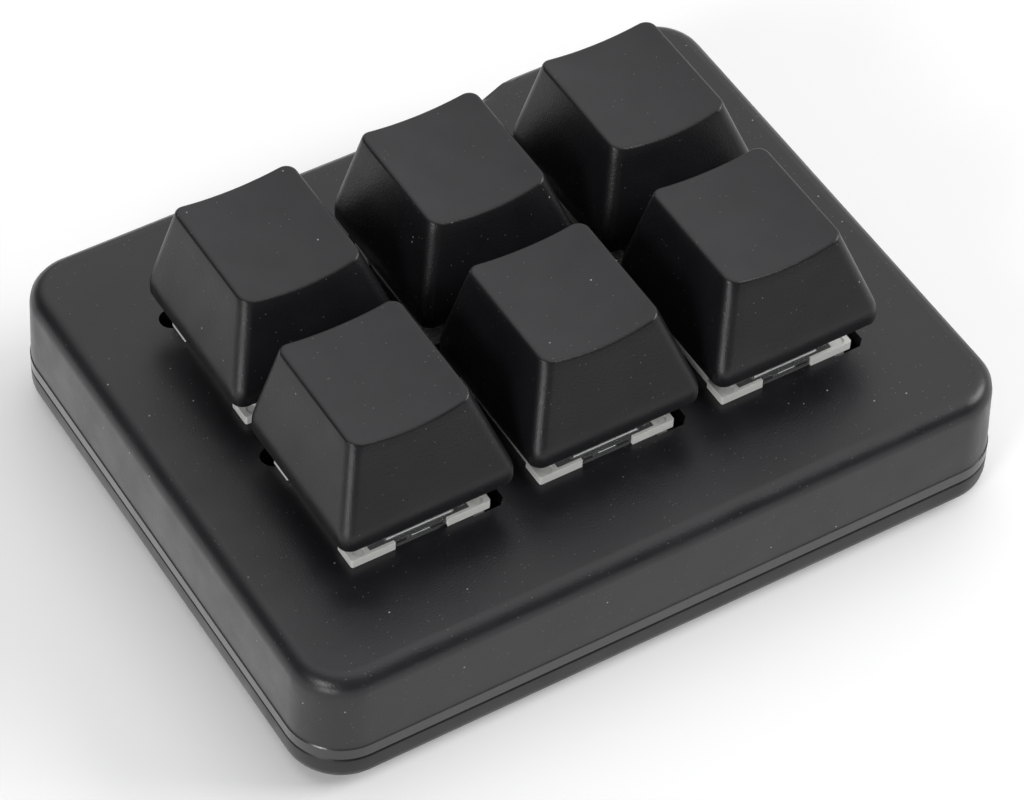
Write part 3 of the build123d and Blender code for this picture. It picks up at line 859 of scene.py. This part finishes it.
for key in KEYS:
    keycap(key)
    spring(key)
    switch_base(key)
    dressed(f"switch_cover_{key}", f"cover_{key}", "switch_cover", "housing", SOFT_WIDTHS["cover"])
    dressed(f"stem_{key}", f"plunger_{key}", "stem", f"key_{key}", SOFT_WIDTHS["plunger"])
screws()
tongue_pads()
light_windows()
upper_shell()
trim()
bottom_shell = dressed("bottom_cover", "bottom_shell", "case", "housing", SOFT_WIDTHS["bottom_shell"])
bottom_shell.data.materials[0] = cover_black
dressed("rubber_feet", "feet", "foot", "housing", SOFT_WIDTHS["feet"])
slot_of = {part["node"]: part["material_slot"] for part in frame["record"]["subparts"]}
for name, node in frame["nodes"].items():
    for place in node.material_slots:
        place.material = MATERIALS[slot_of[name]]


# Stage, light and camera

def floor_white():
    """A pale material with a lift for the camera, which reflections see as white, or as grey in front."""
    material, tree, shader = new_material("floor_white", FLOOR_COLOUR, 0.7)
    sheen = spread(tree, noise(tree, FLOOR_LUMPS), 0.66, 0.74)
    tree.links.new(sheen, shader.inputs["Roughness"])
    ray = add(tree, "ShaderNodeLightPath")
    lift = spread(tree, ray.outputs["Is Camera Ray"], 0.0, FLOOR_LIFT, 0.0, 1.0)
    tree.links.new(lift, shader.inputs["Emission Strength"])
    mirrored = add(tree, "ShaderNodeMath", operation="MAXIMUM")
    tree.links.new(ray.outputs["Is Glossy Ray"], mirrored.inputs[0])
    tree.links.new(ray.outputs["Is Transmission Ray"], mirrored.inputs[1])
    white = add(tree, "ShaderNodeEmission")
    place = add(tree, "ShaderNodeTexCoord")
    parts = add(tree, "ShaderNodeSeparateXYZ")
    tree.links.new(place.outputs["Object"], parts.inputs["Vector"])
    strength = spread(tree, parts.outputs["Y"], *FLOOR_SEEN, FLOOR_SEEN_FROM, FLOOR_SEEN_TO)
    tree.links.new(strength, white.inputs["Strength"])
    either = add(tree, "ShaderNodeMixShader")
    tree.links.new(mirrored.outputs["Value"], either.inputs[0])
    tree.links.new(shader.outputs["BSDF"], either.inputs[1])
    tree.links.new(white.outputs["Emission"], either.inputs[2])
    tree.links.new(either.outputs["Shader"], tree.nodes["Material Output"].inputs["Surface"])
    material.cycles.emission_sampling = "NONE"
    return material


def floor():
    """A wide pale floor."""
    bm = bmesh.new()
    bmesh.ops.create_grid(bm, x_segments=8, y_segments=8, size=FLOOR_HALF)
    piece = object_from("floor", bm, [floor_white()])


def lamp(name, place, target, size, power):
    """A soft box that faces a point."""
    light = bpy.data.lights.new(name, "AREA")
    light.shape = "RECTANGLE"
    light.size, light.size_y = size
    light.energy = power
    holder = bpy.data.objects.new(name, light)
    holder.location = place
    holder.rotation_euler = (Vector(target) - Vector(place)).to_track_quat("-Z", "Y").to_euler()
    bpy.context.scene.collection.objects.link(holder)


def studio():
    """Soft light from high at the back right that fades to dim sides and front."""
    world = bpy.data.worlds.new("studio")
    world.use_nodes = True
    tree = world.node_tree
    place = add(tree, "ShaderNodeTexCoord")
    toward = add(tree, "ShaderNodeVectorMath", operation="DOT_PRODUCT")
    toward.inputs[1].default_value = SKY_TOWARD
    tree.links.new(place.outputs["Generated"], toward.inputs[0])
    light = spread(tree, toward.outputs["Value"], SKY_DIM, SKY_BRIGHT, SKY_FROM, SKY_TO)
    tree.links.new(light, tree.nodes["Background"].inputs["Strength"])
    tree.nodes["Background"].inputs["Color"].default_value = (1, 1, 1, 1)
    bpy.context.scene.world = world


floor()
for name, settings in LAMPS.items():
    lamp(name, *settings)
studio()
bpy.context.scene.view_settings.view_transform = "Standard"

camera_data = bpy.data.cameras.new("camera")
camera_data.sensor_width = CAMERA_SENSOR
camera_data.lens = CAMERA_LENS
camera_data.clip_start = CAMERA_NEAR
camera = bpy.data.objects.new("camera", camera_data)
camera.location = CAMERA_PLACE
camera.rotation_euler = CAMERA_TURN
bpy.context.scene.collection.objects.link(camera)
bpy.context.scene.camera = camera

bpy.context.view_layer.update()
